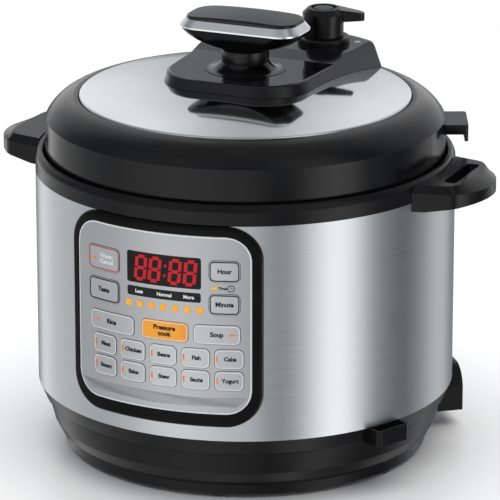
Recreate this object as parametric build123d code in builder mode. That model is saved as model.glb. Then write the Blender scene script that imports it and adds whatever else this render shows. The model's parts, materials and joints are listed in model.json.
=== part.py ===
"""Electric pressure cooker with a 22 cm inner pot.

Frame: the origin is on the standing plane under the pot's axis, +Z is up, the control panel
faces -Y and the side handles lie along X.  All sizes are in millimetres and degrees.
"""
import os
from math import cos, hypot, radians, sin, sqrt

from build123d import *

os.makedirs("parts", exist_ok=True)

# ---------------------------------------------------------------- clearances
seat_gap = 0.1          # between fixed pieces that seat on each other
rest_gap = 0.2          # between a lift-off piece and what it rests on
moving_gap = 0.4        # between pieces that move past each other
shaft_gap = 0.06        # radial running fit of a shaft in its bore
key_gap = 0.3           # round each key in the faceplate

# ---------------------------------------------------------------- pots
pot_radius = 110.0      # inside radius of the inner pot
pot_wall = 2.0
pot_corner = 12.0       # inside corner between wall and floor
pot_rim_width = 9.0
pot_rim_thickness = 1.8
outer_pot_space = 6.0   # air between the inner pot and the outer pot
outer_pot_wall = 1.5
bayonet_depth = 4.0     # how far each flange lug reaches inwards
bayonet_count = 6
bayonet_angle = 27.0
bayonet_height = 10.5   # upright wall above the flange
bayonet_thickness = 2.5

# ---------------------------------------------------------------- housing
housing_margin = 27.0   # from the inner pot's inside radius to the steel sleeve's outside
sleeve_wall = 0.8
sleeve_bottom = 45.2
sleeve_reveal = 9.8     # steel seen below the panel bezel
ring_height = 12.8      # black ring above the sleeve
ring_round = 2.5
ring_floor = 2.2
shell_wall = 2.4
base_flange_height = 7.0
foot_height = 3.0
foot_radius = 8.0
foot_count = 6
foot_start_angle = -15.0
cover_thickness = 2.5
vent_count = 24
vent_length = 26.0
vent_width = 3.0
screw_radius = 1.6
screw_head_radius = 3.4
screw_head_height = 2.2

# ---------------------------------------------------------------- side handles
handle_reach = 34.5     # beyond the steel sleeve
handle_half_width = 39.0
handle_tip_half_width = 32.0
handle_thickness_tip = 12.5
handle_slope = 5.2      # from the flat top down to the rounded outer edge
handle_flat_reach = 22.0
slot_length = 46.0
slot_width = 8.6
slot_from_sleeve = 9.4
tongue_thickness = 2.0
tongue_half_width = 24.0
tongue_length = 13.5

# ---------------------------------------------------------------- control panel
face_stand_out = 2.8    # front of the faceplate beyond the steel
face_thickness = 1.6
face_width = 123.6      # measured round the curve
face_height = 117.2
face_corner = 16.0
bezel_stand_out = 3.1
bezel_side = 5.2
bezel_foot = 9.0
bezel_head = 6.2
bezel_corner = 22.0
bezel_edge_round = 2.2
tray_floor = 1.9
membrane_thickness = 0.65
key_thickness = 2.1
key_proud = 0.35
window_width = 50.0
window_height = 20.4
window_place = (4.5, 34.0)
bar_light_count = 7
bar_light_size = 4.2
bar_light_pitch = 8.05
bar_light_place = (4.6, 9.9)
timer_light_place = (38.0, 25.0)
timer_light_size = (4.2, 1.6)

# name, distance round the curve from the panel's middle, height above it, width, height
KEYS = [
    ("key_cancel", -39.3, 34.9, 25.4, 15.8),
    ("key_taste", -39.3, 14.2, 25.2, 15.2),
    ("key_hour", 44.5, 36.1, 19.6, 14.0),
    ("key_minute", 44.5, 14.4, 19.6, 13.6),
    ("key_rice", -33.2, -6.2, 34.6, 12.6),
    ("key_pressure", 5.4, -5.6, 31.6, 12.6),
    ("key_soup", 39.6, -5.6, 29.6, 12.6),
]
SMALL_KEYS = [
    ["key_meat", "key_chicken", "key_beans", "key_fish", "key_cake"],
    ["key_steam", "key_bake", "key_stew", "key_saute", "key_yogurt"],
]
small_key_first = -38.6
small_key_pitch = 21.5
small_key_rows = (-21.6, -36.1)
small_key_size = (18.2, 12.8)
for row, names in enumerate(SMALL_KEYS):
    for column, name in enumerate(names):
        place = small_key_first + column * small_key_pitch
        KEYS.append((name, place, small_key_rows[row], *small_key_size))

# ---------------------------------------------------------------- lid
skirt_gap = 1.4         # from the black ring's lip to the lid's skirt
skirt_height = 33.4
shoulder_rise = 12.4
shoulder_width = 19.0
shoulder_bulge = 2.2
dome_rise = 11.2
dome_wall = 0.8
dome_rim_height = 5.0
bolt_hole_radius = 4.0  # through the dome's middle, for the stem
seal_height = 5.8
seal_width = 8.2
pan_wall = 2.2
pan_height = 13.8
boss_radius = 4.5
boss_inset = 20.0       # from the pan's wall to the lid screws
ear_angle = 24.0
ear_width = 33.0
ear_thickness = 6.5
ear_reach = 14.0        # beyond the skirt
ear_hook_drop = 4.6
ear_drop = 4.7          # from the skirt's top edge to the ear's top
saddle_half_width = 52.0
saddle_widening = 7.5   # how much wider each half is at the rear than at the front
saddle_front = 46.0
saddle_corner = 34.0
saddle_lean = 6.0
saddle_rear_round = 8.0
platform_rise = 3.0     # rear platform of the saddle, above the pad round the stem
platform_start = 31.0
platform_ramp = 14.0
saddle_top_over_dome = 5.0
saddle_wall = 2.5
saddle_over_ring = 3.0

# ---------------------------------------------------------------- grip on the lid
stem_radius = 15.6
stem_height = 15.8
stem_flare = 11.0
stem_flare_height = 5.0
grip_length = 83.0
grip_width = 42.0
grip_corner = grip_width / 3
grip_depth = 11.5
trim_height = 5.4
trim_slope = 3.2        # how far the bright band leans inwards
trim_width = 6.0
cap_height = 3.2
cap_round = 1.3
cap_crown_radius = 520.0

# ---------------------------------------------------------------- valve and float pin
valve_place = (25.0, 72.0)
valve_radius = 14.0
valve_height = 23.2
valve_head_height = 9.2
valve_head_slope = 3.4
valve_collar_radius = 17.4
valve_collar_height = 4.0
valve_lever_angle = 24.0
valve_lever_reach = 27.0
valve_lever_drop = 4.0
pipe_radius = 4.0
pipe_bore = 2.6
filter_radius = 12.0
filter_height = 11.0
float_place = (46.0, 80.0)
float_radius = 2.6

# ---------------------------------------------------------------- inside the base
plate_radius = 92.0
plate_thickness = 10.0
diaphragm_thickness = 2.2
probe_radius = 15.5
probe_cap_height = 6.0
probe_stem_radius = 5.0
probe_bore_radius = 17.0
spring_radius = 8.5
spring_wire_radius = 0.6
board_thickness = 1.6

# ---------------------------------------------------------------- fittings on the outside
inlet_angle = 39.0
hood_half_width = 21.0
hood_bottom = 10.6
hood_top = 40.6
hood_corner = 15.0
hood_wall = 2.2
hood_reach = 8.2        # beyond the steel sleeve
hood_depth = 9.5        # inside the steel sleeve
inlet_width = 26.0
inlet_height = 19.0
inlet_flange = 1.2
inlet_depth = 27.0
inlet_pin_length = 14.0
pocket_angle = -25.7
pocket_width = 26.6
pocket_height = 10.4
pocket_reach = 8.6
pocket_wall = 1.8
cup_width = 42.4
cup_depth = 19.0
cup_height = 42.0
cup_wall = 1.6
cup_flange = 1.8

# ---------------------------------------------------------------- levels and radii that follow
body_radius = pot_radius + housing_margin
sleeve_inside = body_radius - sleeve_wall
bezel_height = bezel_foot + face_height + bezel_head
sleeve_top = sleeve_bottom + sleeve_reveal + bezel_height
ring_level = sleeve_top + rest_gap
ring_top = ring_level + ring_height
gutter_level = ring_level - 1.4
ring_underside = gutter_level - ring_floor
flange_seat = gutter_level + seat_gap
flange_top = flange_seat + outer_pot_wall
pot_outside = pot_radius + pot_wall
pot_rim_radius = pot_outside + pot_rim_width
pot_rim_bottom = flange_top + rest_gap
pot_rim_top = pot_rim_bottom + pot_rim_thickness
outer_pot_inside = pot_outside + outer_pot_space
lug_inside = pot_rim_radius + 2.5 * moving_gap
bayonet_inside = lug_inside + bayonet_depth
bayonet_outside = bayonet_inside + outer_pot_wall
bayonet_top = flange_top + bayonet_height
lip_inside = body_radius - 5.1
skirt_outside = lip_inside - skirt_gap
skirt_inside = skirt_outside - shell_wall
skirt_bottom = gutter_level + 3.6
crease_radius = skirt_outside - 1.5
crease_level = skirt_bottom + skirt_height
lip_top_level = crease_level + shoulder_rise
dome_radius = crease_radius - shoulder_width - 1.8
dome_rim_level = lip_top_level + 0.9
dome_crown = dome_rim_level + dome_rise
dome_ledge = dome_rim_level - dome_rim_height - seat_gap
dome_sphere = (dome_radius ** 2 + dome_rise ** 2) / (2 * dome_rise)
saddle_top = dome_crown + saddle_top_over_dome
platform_top = saddle_top + platform_rise
seal_bottom = pot_rim_top + rest_gap
seal_outside = pot_outside + 2.3
pan_bottom = pot_rim_top + 3 * moving_gap
pan_inside = seal_outside + 0.3
pan_outside = pan_inside + pan_wall
pan_lug_radius = lug_inside - moving_gap
pan_roof = pan_bottom + pan_height
boss_place = pan_outside - boss_inset + 5.0
grip_bottom = saddle_top + stem_height
grip_top = grip_bottom + grip_depth
face_radius = body_radius + face_stand_out
face_back = face_radius - face_thickness
bezel_radius = body_radius + bezel_stand_out
face_middle = sleeve_top - bezel_head - face_height / 2
cover_radius = body_radius - 33.3
floor_level = foot_height
inlet_level = (hood_bottom + hood_top) / 2


def turn(points, mode=Mode.ADD):
    """Revolve a closed outline of (radius, height) points about Z in the open part."""
    with BuildSketch(Plane.XZ) as section:
        with BuildLine():
            Polyline(*points, close=True)
        make_face()
    revolve(section.sketch, axis=Axis.Z, mode=mode)


def turn_band(inside, outside, low, high, mode=Mode.ADD):
    """Revolve a rectangle about Z; an inside radius of 0 makes a disc."""
    turn([(inside, low), (outside, low), (outside, high), (inside, high)], mode)


def round_bar(x, y, radius, low, high, mode=Mode.ADD):
    """Vertical cylinder between two levels in the open part."""
    with BuildSketch(Plane.XY.offset(low)) as section:
        with Locations((x, y)):
            Circle(radius)
    extrude(section.sketch, amount=high - low, mode=mode)


def block(x_range, y_range, z_range, mode=Mode.ADD):
    """Upright box between the given limits in the open part."""
    width = x_range[1] - x_range[0]
    depth = y_range[1] - y_range[0]
    with BuildSketch(Plane.XY.offset(z_range[0])) as section:
        with Locations(((x_range[0] + x_range[1]) / 2, (y_range[0] + y_range[1]) / 2)):
            Rectangle(width, depth)
    extrude(section.sketch, amount=z_range[1] - z_range[0], mode=mode)


def panel_plane(along, height, radius):
    """Plane square to the curved panel at a distance along it, facing outwards."""
    turned = along / face_radius
    outward = (sin(turned), -cos(turned), 0)
    origin = (radius * sin(turned), -radius * cos(turned), face_middle + height)
    return Plane(origin=origin, x_dir=(cos(turned), sin(turned), 0), z_dir=outward)


def side_plane(angle, radius, height):
    """Plane facing outwards at an angle from +X; its x axis runs level, its y axis up."""
    outward = (cos(radians(angle)), sin(radians(angle)), 0)
    origin = (radius * outward[0], radius * outward[1], height)
    return Plane(origin=origin, x_dir=(-outward[1], outward[0], 0), z_dir=outward)


def window_prism(width, height, corner, plane, depth, mode=Mode.ADD):
    """Rounded rectangle pushed outwards from a plane in the open part."""
    with BuildSketch(plane) as outline:
        RectangleRounded(width, height, corner)
    extrude(outline.sketch, amount=depth, mode=mode)


def face_prism(grow, depth_from, mode=Mode.ADD):
    """The faceplate's outline, grown all round, pushed out through the curved panel."""
    half = face_radius * sin(face_width / 2 / face_radius)
    plane = panel_plane(0, 0, depth_from)
    corner = max(face_corner + grow, 1.0)
    window_prism(2 * (half + grow), face_height + 2 * grow, corner, plane, 80, mode)


def bezel_prism(grow, mode=Mode.ADD):
    """The bezel's outline, grown all round, pushed out through the curved panel."""
    half = face_radius * sin(face_width / 2 / face_radius) + bezel_side
    shift = (bezel_head - bezel_foot) / 2
    plane = panel_plane(0, shift, body_radius - 60)
    window_prism(2 * (half + grow), bezel_height + 2 * grow, bezel_corner + grow, plane, 80, mode)


def hood_outline(grow, start, depth, mode=Mode.ADD):
    """Low arch, pushed outwards where the power lead plugs in."""
    rise = hood_top - hood_bottom
    with BuildSketch(side_plane(inlet_angle, start, inlet_level)) as outline:
        Rectangle(2 * (hood_half_width + grow), rise + 2 * grow)
        fillet(outline.vertices().group_by(Axis.Y)[-1], hood_corner + grow)
    extrude(outline.sketch, amount=depth, mode=mode)


def save(builder, name):
    """Label the finished piece and write it."""
    builder.part.label = name
    export_step(builder.part, "parts/" + name + ".step")


# ================================================================ housing
def base_outline(inset):
    """Outside of the plastic base, from its lip up to the steel, moved in by inset."""
    return [
        (body_radius - 17.5 - inset, floor_level),
        (body_radius - 17.5 - inset, floor_level + 6.0),
        (body_radius - 13.5 - inset, floor_level + 9.5),
        (body_radius - 10.0 - inset, floor_level + 16.5),
        (body_radius - 6.2 - inset, sleeve_bottom - 11.7),
        (body_radius - 6.2 - inset, sleeve_bottom - 10.1),
        (body_radius - 4.2 - inset, sleeve_bottom - 10.1),
        (body_radius - inset, sleeve_bottom - seat_gap),
    ]


foot_circle = body_radius - 27.0
cover_screw_circle = cover_radius - 5.0
foot_angles = [foot_start_angle + 360 / foot_count * i for i in range(foot_count)]
foot_points = [(foot_circle * cos(radians(a)), foot_circle * sin(radians(a))) for a in foot_angles]
cover_screw_points = [
    (cover_screw_circle * cos(radians(90 * i)), cover_screw_circle * sin(radians(90 * i)))
    for i in range(4)
]
boss_points = [
    (boss_place * cos(radians(30 + 90 * i)), boss_place * sin(radians(30 + 90 * i)))
    for i in range(4)
]

with BuildPart() as base_shell:
    flange_outside = sleeve_inside - 0.3
    outer = base_outline(0)
    flange = [
        (flange_outside, sleeve_bottom - seat_gap),
        (flange_outside, sleeve_bottom + base_flange_height),
        (flange_outside - shell_wall, sleeve_bottom + base_flange_height),
    ]
    inner = [(r, z + 0.4) for r, z in base_outline(shell_wall + 0.6)[1:7]][::-1]
    inner_floor = [
        (body_radius - 20.5, floor_level + 5.4),
        (cover_radius - 10.5, floor_level + 5.4),
        (cover_radius - 10.5, floor_level + 3.0),
        (cover_radius + rest_gap, floor_level + 3.0),
        (cover_radius + rest_gap, floor_level),
    ]
    turn(outer + flange + inner + inner_floor)
    hood_outline(seat_gap, body_radius - 60, 80, Mode.SUBTRACT)
    for x, y in foot_points:
        round_bar(x, y, 3.0, floor_level - 1, floor_level + 6, Mode.SUBTRACT)
    for x, y in cover_screw_points:
        round_bar(x, y, screw_radius + 0.1, floor_level, floor_level + 5.0, Mode.SUBTRACT)
save(base_shell, "base_shell")

with BuildPart() as feet:
    for x, y in foot_points:
        round_bar(x, y, foot_radius, 0, foot_height)
    chamfer(feet.faces().filter_by(Axis.Z).group_by(Axis.Z)[0].edges(), 0.8)
    for x, y in foot_points:
        round_bar(x, y, 2.9, foot_height - 0.5, foot_height + 5.0)
save(feet, "feet")

board_posts = [(x, y) for x in (-46.0, 46.0) for y in (-32.0, 32.0)]
board_level = floor_level + cover_thickness + 9.0

with BuildPart() as bottom_cover:
    turn_band(0, cover_radius, floor_level + 0.5, floor_level + 0.5 + cover_thickness - seat_gap)
    with BuildSketch(Plane.XY.offset(floor_level - 1)):
        with PolarLocations(cover_radius * 0.68, vent_count):
            SlotOverall(vent_length, vent_width)
    extrude(amount=8, mode=Mode.SUBTRACT)
    for x, y in cover_screw_points:
        round_bar(x, y, screw_radius + 0.3, floor_level - 1, floor_level + 5, Mode.SUBTRACT)
    for x, y in board_posts:
        round_bar(x, y, 3.2, floor_level + 1.5, board_level)
save(bottom_cover, "bottom_cover")

with BuildPart() as cover_screws:
    for x, y in cover_screw_points:
        round_bar(x, y, screw_radius, floor_level, floor_level + 4.8)
        round_bar(x, y, screw_head_radius, floor_level - 1.4, floor_level + 0.4)
save(cover_screws, "cover_screws")

with BuildPart() as steel_sleeve:
    turn_band(sleeve_inside, body_radius, sleeve_bottom, sleeve_top)
    bezel_prism(0.15, Mode.SUBTRACT)
    hood_outline(0.15, body_radius - 60, 80, Mode.SUBTRACT)
    for side in (-1, 1):
        x_limits = sorted((side * (body_radius - 12), side * (body_radius + 2)))
        y_limits = (-tongue_half_width - rest_gap, tongue_half_width + rest_gap)
        block(x_limits, y_limits, (ring_underside - tongue_thickness - 0.4, sleeve_top + 1), Mode.SUBTRACT)
save(steel_sleeve, "steel_sleeve")

handle_screw_points = [
    (side * (body_radius - 8.5), end * 16.0) for side in (-1, 1) for end in (-1, 1)
]

with BuildPart() as body_ring:
    with BuildSketch(Plane.XZ):
        with BuildLine():
            rim = [
                (outer_pot_inside + outer_pot_wall + 1.5, ring_underside),
                (outer_pot_inside + outer_pot_wall + 1.5, gutter_level),
                (bayonet_outside + 0.3, gutter_level),
                (lip_inside, gutter_level),
                (lip_inside, ring_top - 0.8),
                (lip_inside + 0.8, ring_top),
                (body_radius - ring_round, ring_top),
            ]
            top_edge = Polyline(*rim)
            crown = ThreePointArc(
                top_edge @ 1,
                (body_radius - ring_round * 0.32, ring_top - ring_round * 0.75),
                (body_radius, ring_top - ring_round * 2.4),
            )
            Polyline(
                crown @ 1,
                (body_radius, ring_level),
                (sleeve_inside - 0.2, ring_level),
                (sleeve_inside - 0.2, ring_underside - 6.0),
                (sleeve_inside - 0.2 - shell_wall, ring_underside - 6.0),
                (sleeve_inside - 0.2 - shell_wall, ring_underside),
                top_edge @ 0,
            )
        make_face()
    revolve(axis=Axis.Z)
    bezel_prism(0.15, Mode.SUBTRACT)
    for side in (-1, 1):
        x_limits = sorted((side * (body_radius - 16), side * (body_radius + 2)))
        y_limits = (-tongue_half_width - rest_gap, tongue_half_width + rest_gap)
        tongue_zone = (ring_underside - 7.0, ring_underside)
        block(x_limits, y_limits, tongue_zone, Mode.SUBTRACT)
    for x, y in handle_screw_points:
        round_bar(x, y, screw_radius + 0.05, ring_underside - 1, gutter_level - 0.4, Mode.SUBTRACT)
save(body_ring, "body_ring")


# ================================================================ side handles
def handle_outline(level, root_half, tip_half, reach):
    """Rounded plan of a side handle at a level, root hidden inside the housing."""
    shoulder = body_radius + 20.0
    with BuildSketch(Plane.XY.offset(level)) as plan:
        with BuildLine():
            low_side = Line((body_radius - 8.0, -root_half), (shoulder, -tip_half))
            nose = ThreePointArc(low_side @ 1, (body_radius + reach, 0), (shoulder, tip_half))
            high_side = Line(nose @ 1, (body_radius - 8.0, root_half))
            Line(high_side @ 1, low_side @ 0)
        make_face()
        shoulders = plan.vertices().sort_by(Axis.X)[2:]
        fillet(shoulders, 11.0)
    return plan.sketch


handle_top = ring_top - 1.2
tongue_low = ring_underside - seat_gap - tongue_thickness
slot_middle = body_radius + slot_from_sleeve + slot_width / 2


def make_handle(name, side, with_slot):
    """Side handle on +X or -X: tapered plate, tongue under the ring, two screw holes."""
    with BuildPart() as handle:
        edge_level = handle_top - handle_slope
        full = (handle_half_width, handle_tip_half_width, handle_reach)
        flat = (handle_half_width - 3.0, handle_tip_half_width - 2.0, handle_flat_reach)
        extrude(handle_outline(tongue_low, *full), amount=edge_level - tongue_low)
        loft([handle_outline(edge_level, *full), handle_outline(handle_top, *flat)])
        tip = body_radius + handle_reach
        with BuildSketch(Plane.XZ.offset(-handle_half_width - 5)) as under:
            with BuildLine():
                Polyline(
                    (body_radius, tongue_low - 1),
                    (tip + 2, tongue_low - 1),
                    (tip + 2, handle_top - handle_thickness_tip + 0.5),
                    (body_radius + 2, tongue_low),
                    (body_radius, tongue_low),
                    close=True,
                )
            make_face()
        extrude(under.sketch, amount=2 * handle_half_width + 10, mode=Mode.SUBTRACT)
        if with_slot:
            with BuildSketch(Plane.XY.offset(tongue_low - 2)) as slot:
                with Locations((slot_middle, 0)):
                    Rectangle(slot_width, slot_length)
                fillet(slot.vertices(), 3.0)
            extrude(slot.sketch, amount=40, mode=Mode.SUBTRACT)
        turn_band(0, body_radius + seat_gap, tongue_low - 5, handle_top + 5, Mode.SUBTRACT)
        block(
            (body_radius - tongue_length, body_radius + 3),
            (-tongue_half_width, tongue_half_width),
            (tongue_low, tongue_low + tongue_thickness),
        )
        for x, y in handle_screw_points:
            if x > 0:
                round_bar(x, y, screw_radius + 0.3, tongue_low - 1, ring_underside, Mode.SUBTRACT)
    if side < 0:
        with BuildPart() as turned_handle:
            add(handle.part.rotate(Axis.Z, 180))
        handle = turned_handle
    save(handle, name)


make_handle("right_handle", 1, True)
make_handle("left_handle", -1, False)

with BuildPart() as handle_screws:
    for x, y in handle_screw_points:
        round_bar(x, y, screw_radius, tongue_low - 0.5, gutter_level - 0.6)
        round_bar(x, y, screw_head_radius, tongue_low - screw_head_height, tongue_low - seat_gap)
save(handle_screws, "handle_screws")

# ================================================================ pots and heating
pot_floor = sleeve_bottom + 13.3
outer_floor = pot_floor - pot_wall - rest_gap - plate_thickness - diaphragm_thickness - 0.3
outer_floor_bottom = outer_floor - outer_pot_wall
plate_bottom = outer_floor + diaphragm_thickness + 2 * seat_gap
plate_face = plate_bottom + plate_thickness

with BuildPart() as outer_pot:
    shell = [
        (probe_stem_radius + 1.5, outer_floor_bottom),
        (outer_pot_inside + outer_pot_wall, outer_floor_bottom),
        (outer_pot_inside + outer_pot_wall, flange_seat),
        (bayonet_outside, flange_seat),
        (bayonet_outside, bayonet_top),
        (bayonet_inside, bayonet_top),
        (bayonet_inside, flange_top),
        (outer_pot_inside, flange_top),
        (outer_pot_inside, outer_floor),
        (probe_stem_radius + 1.5, outer_floor),
    ]
    turn(shell)
    with BuildSketch(Plane.XZ) as lug_section:
        with Locations(((lug_inside + bayonet_inside) / 2 + 0.2, bayonet_top - bayonet_thickness / 2)):
            Rectangle(bayonet_depth + 0.4, bayonet_thickness)
    with BuildPart(mode=Mode.PRIVATE) as one_lug:
        revolve(lug_section.sketch, axis=Axis.Z, revolution_arc=bayonet_angle)
    for i in range(bayonet_count):
        add(one_lug.part.rotate(Axis.Z, i * 360 / bayonet_count))
    for x in (-60.0, 60.0):
        round_bar(x, 0, 5.0, outer_floor_bottom - 1, outer_floor + 1, Mode.SUBTRACT)
save(outer_pot, "outer_pot")

with BuildPart() as inner_pot:
    with BuildSketch(Plane.XZ):
        with BuildLine():
            bottom = Line((0, pot_floor - pot_wall), (pot_radius - pot_corner, pot_floor - pot_wall))
            outside_corner = RadiusArc(
                bottom @ 1, (pot_outside, pot_floor + pot_corner), -(pot_corner + pot_wall)
            )
            edge = Polyline(
                outside_corner @ 1,
                (pot_outside, pot_rim_bottom),
                (pot_rim_radius, pot_rim_bottom),
                (pot_rim_radius, pot_rim_top),
                (pot_radius, pot_rim_top),
                (pot_radius, pot_floor + pot_corner),
            )
            inside_corner = RadiusArc(edge @ 1, (pot_radius - pot_corner, pot_floor), pot_corner)
            Polyline(inside_corner @ 1, (0, pot_floor), bottom @ 0)
        make_face()
    revolve(axis=Axis.Z)
save(inner_pot, "inner_pot")

with BuildPart() as pressure_diaphragm:
    diaphragm_low = outer_floor + seat_gap
    diaphragm_top = outer_floor + diaphragm_thickness
    turn_band(probe_bore_radius, plate_radius + 4.0, diaphragm_low, diaphragm_top)
    for x in (-60.0, 60.0):
        round_bar(x, 0, 5.0, outer_floor - 1, outer_floor + 4, Mode.SUBTRACT)
save(pressure_diaphragm, "pressure_diaphragm")

with BuildPart() as heating_plate:
    turn_band(probe_bore_radius, plate_radius, plate_bottom, plate_face)
    for groove in (45.0, 65.0):
        turn_band(groove, groove + 2.0, plate_face - 0.6, plate_face + 1, Mode.SUBTRACT)
    for x in (-60.0, 60.0):
        round_bar(x, 0, 3.0, outer_floor_bottom - 8.0, plate_bottom + 1)
save(heating_plate, "heating_plate")

with BuildPart() as sensor_probe:
    turn_band(0, probe_radius, plate_face - probe_cap_height, plate_face)
    chamfer(sensor_probe.faces().sort_by(Axis.Z)[-1].edges(), 0.8)
    turn_band(0, probe_stem_radius, outer_floor_bottom - 5.0, plate_face - 1)
save(sensor_probe, "sensor_probe")

spring_bottom = outer_floor + seat_gap
spring_top = plate_face - probe_cap_height - seat_gap
spring_rise = spring_top - spring_bottom - 2 * spring_wire_radius
with BuildPart() as sensor_spring:
    with BuildLine():
        coil = Helix(
            pitch=spring_rise / 2.5,
            height=spring_rise,
            radius=spring_radius,
            center=(0, 0, spring_bottom + spring_wire_radius),
        )
    with BuildSketch(Plane(origin=coil @ 0, z_dir=coil % 0)):
        Circle(spring_wire_radius)
    sweep(is_frenet=True)
save(sensor_spring, "sensor_spring")

with BuildPart() as power_board:
    block((-52, 52), (-38, 38), (board_level + seat_gap, board_level + seat_gap + board_thickness))
    part_level = board_level + board_thickness
    block((-44, -22), (-24, -8), (part_level, part_level + 14))
    block((-8, 14), (-26, -4), (part_level, part_level + 11))
    block((24, 44), (6, 24), (part_level, part_level + 9))
    round_bar(-30, 14, 6.5, part_level, part_level + 13)
    round_bar(4, 18, 5.0, part_level, part_level + 12)
save(power_board, "power_board")

# ================================================================ control panel
board_y = -(sqrt((bezel_radius - bezel_stand_out - 3.2) ** 2 - 46.0 ** 2)) + 1.6
board_z = (face_middle - 44.0, face_middle + 46.0)

with BuildPart() as panel_bezel:
    tray_back = body_radius - 2.5
    turn_band(tray_back, bezel_radius, face_middle - face_height, face_middle + face_height)
    bezel_prism(0, Mode.INTERSECT)
    front = panel_bezel.faces().filter_by(GeomType.CYLINDER).sort_by(lambda f: f.radius)[-1]
    fillet(front.outer_wire().edges(), bezel_edge_round)
    with BuildPart(mode=Mode.PRIVATE) as face_pocket:
        turn_band(face_back - 0.05, bezel_radius + 5, face_middle - face_height, face_middle + face_height)
        face_prism(seat_gap, body_radius - 60, Mode.INTERSECT)
    with BuildPart(mode=Mode.PRIVATE) as deep_pocket:
        turn_band(
            tray_back + tray_floor, bezel_radius + 5, face_middle - face_height, face_middle + face_height
        )
        face_prism(-3.0, body_radius - 60, Mode.INTERSECT)
    add(face_pocket.part, mode=Mode.SUBTRACT)
    add(deep_pocket.part, mode=Mode.SUBTRACT)
    for x in (-38.0, 38.0):
        for z in (board_z[0] + 6, board_z[1] - 6):
            with BuildSketch(Plane.XZ.offset(-board_y + seat_gap)) as boss:
                with Locations((x, z)):
                    Circle(3.0)
            reach = sqrt((tray_back + 1.0) ** 2 - 41.0 ** 2) + board_y - seat_gap
            extrude(boss.sketch, amount=reach)
save(panel_bezel, "panel_bezel")

with BuildPart() as switch_membrane:
    membrane_back = tray_back + tray_floor + 0.05
    turn_band(
        membrane_back,
        membrane_back + membrane_thickness,
        face_middle - face_height,
        face_middle + face_height,
    )
    face_prism(-3.0 - rest_gap, body_radius - 60, Mode.INTERSECT)
save(switch_membrane, "switch_membrane")

with BuildPart() as panel_faceplate:
    turn_band(face_back, face_radius, face_middle - face_height, face_middle + face_height)
    face_prism(0, body_radius - 60, Mode.INTERSECT)
    for name, along, up, width, height in KEYS:
        plane = panel_plane(along, up, face_radius - 8)
        window_prism(width + 2 * key_gap, height + 2 * key_gap, 3.4 + key_gap, plane, 16, Mode.SUBTRACT)
    plane = panel_plane(*window_place, face_radius - 8)
    window_prism(window_width + 0.2, window_height + 0.2, 1.6, plane, 16, Mode.SUBTRACT)
    light_spots = [
        (bar_light_place[0] + (i - (bar_light_count - 1) / 2) * bar_light_pitch, bar_light_place[1])
        for i in range(bar_light_count)
    ]
    for along, up in light_spots:
        plane = panel_plane(along, up, face_radius - 8)
        window_prism(bar_light_size + 0.2, bar_light_size + 0.2, 0.5, plane, 16, Mode.SUBTRACT)
    plane = panel_plane(*timer_light_place, face_radius - 8)
    window_prism(timer_light_size[0] + 0.2, timer_light_size[1] + 0.2, 0.5, plane, 16, Mode.SUBTRACT)
save(panel_faceplate, "panel_faceplate")

with BuildPart() as display_window:
    window_prism(window_width, window_height, 1.5, panel_plane(*window_place, face_radius - 8), 16)
    turn_band(
        face_back - 0.4,
        face_radius + 0.1,
        face_middle - face_height,
        face_middle + face_height,
        Mode.INTERSECT,
    )
save(display_window, "display_window")

with BuildPart() as indicator_lights:
    for along, up in light_spots:
        plane = panel_plane(along, up, face_radius - 8)
        window_prism(bar_light_size, bar_light_size, 0.4, plane, 16)
    plane = panel_plane(*timer_light_place, face_radius - 8)
    window_prism(*timer_light_size, 0.4, plane, 16)
    turn_band(
        face_back - 0.2,
        face_radius + 0.15,
        face_middle - face_height,
        face_middle + face_height,
        Mode.INTERSECT,
    )
save(indicator_lights, "indicator_lights")

for name, along, up, width, height in KEYS:
    with BuildPart() as key:
        window_prism(width, height, 3.4, panel_plane(along, up, face_radius - 8), 16)
        turn_band(
            face_radius + key_proud - key_thickness,
            face_radius + key_proud,
            face_middle - face_height,
            face_middle + face_height,
            Mode.INTERSECT,
        )
        key_front = key.faces().filter_by(GeomType.CYLINDER).sort_by(lambda f: f.area)[-1]
        fillet(key_front.edges(), 0.3)
    save(key, name)

with BuildPart() as control_board:
    block((-46, 46), (board_y, board_y + board_thickness), board_z)
    display_low = face_middle + window_place[1] - 9
    block((-20, 28), (board_y - 2.2, board_y), (display_low, display_low + 18))
save(control_board, "control_board")

# ================================================================ fittings outside
hood_back = body_radius - hood_depth

with BuildPart() as inlet_hood:
    hood_outline(0, hood_back, hood_depth + hood_reach)
    hood_outline(-hood_wall, hood_back + hood_wall, 60, Mode.SUBTRACT)
    window_prism(
        inlet_width + 0.3,
        inlet_height + 0.3,
        2.1,
        side_plane(inlet_angle, hood_back - 5, inlet_level),
        20,
        Mode.SUBTRACT,
    )
save(inlet_hood, "inlet_hood")

inlet_front = body_radius - 1.0
with BuildPart() as power_inlet:
    inlet_start = inlet_front - inlet_depth
    window_prism(
        inlet_width, inlet_height, 2.0, side_plane(inlet_angle, inlet_start, inlet_level), inlet_depth
    )
    window_prism(
        inlet_width + 2 * inlet_flange,
        inlet_height + 2 * inlet_flange,
        2.5,
        side_plane(inlet_angle, hood_back + hood_wall + seat_gap, inlet_level),
        2.0,
    )
    window_prism(
        inlet_width - 3.6,
        inlet_height - 4.2,
        1.5,
        side_plane(inlet_angle, inlet_front - 17.0, inlet_level),
        30,
        Mode.SUBTRACT,
    )
    for across, up in ((-7.0, -2.0), (7.0, -2.0), (0, 2.0)):
        with BuildSketch(side_plane(inlet_angle, inlet_start - 1, inlet_level)) as pin_slot:
            with Locations((across, up)):
                Rectangle(2.2, 4.2)
        extrude(pin_slot.sketch, amount=20, mode=Mode.SUBTRACT)
save(power_inlet, "power_inlet")

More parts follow.
